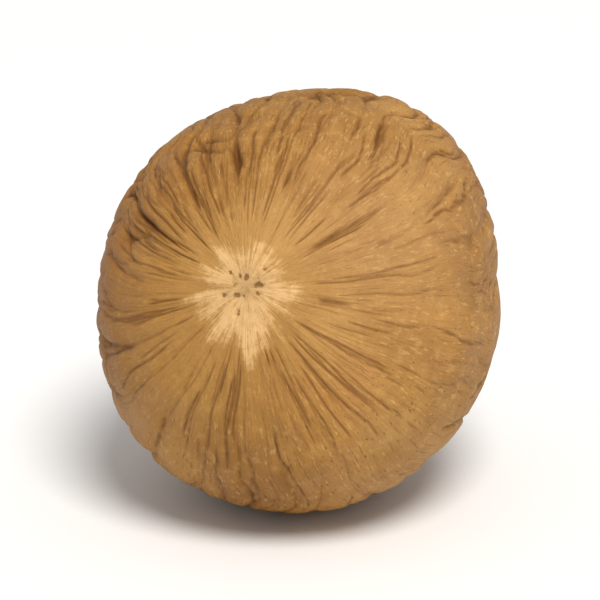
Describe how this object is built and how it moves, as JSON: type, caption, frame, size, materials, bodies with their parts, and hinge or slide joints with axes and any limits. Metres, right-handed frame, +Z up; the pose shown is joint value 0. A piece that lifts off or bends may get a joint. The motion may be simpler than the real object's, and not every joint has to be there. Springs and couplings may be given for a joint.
{
  "type": "whole nutmeg",
  "caption": "Single whole dried nutmeg: a brown wrinkled egg-shaped kernel lying on its side, with a pale scar at its broad end.",
  "frame": {"origin": "middle of the small flat spot that the nutmeg rests on", "axes": "+Z up; +Y along the nutmeg's length, away from its broad end with the scar"},
  "size_m": [0.0208, 0.0259, 0.0213],
  "materials": {
    "nutmeg_skin": "dry wrinkled brown seed skin with a low sheen, darker in its furrows and cream at the scar"
  },
  "bodies": {
    "root": {"nutmeg": "nutmeg_skin"}
  },
  "joints": []
}
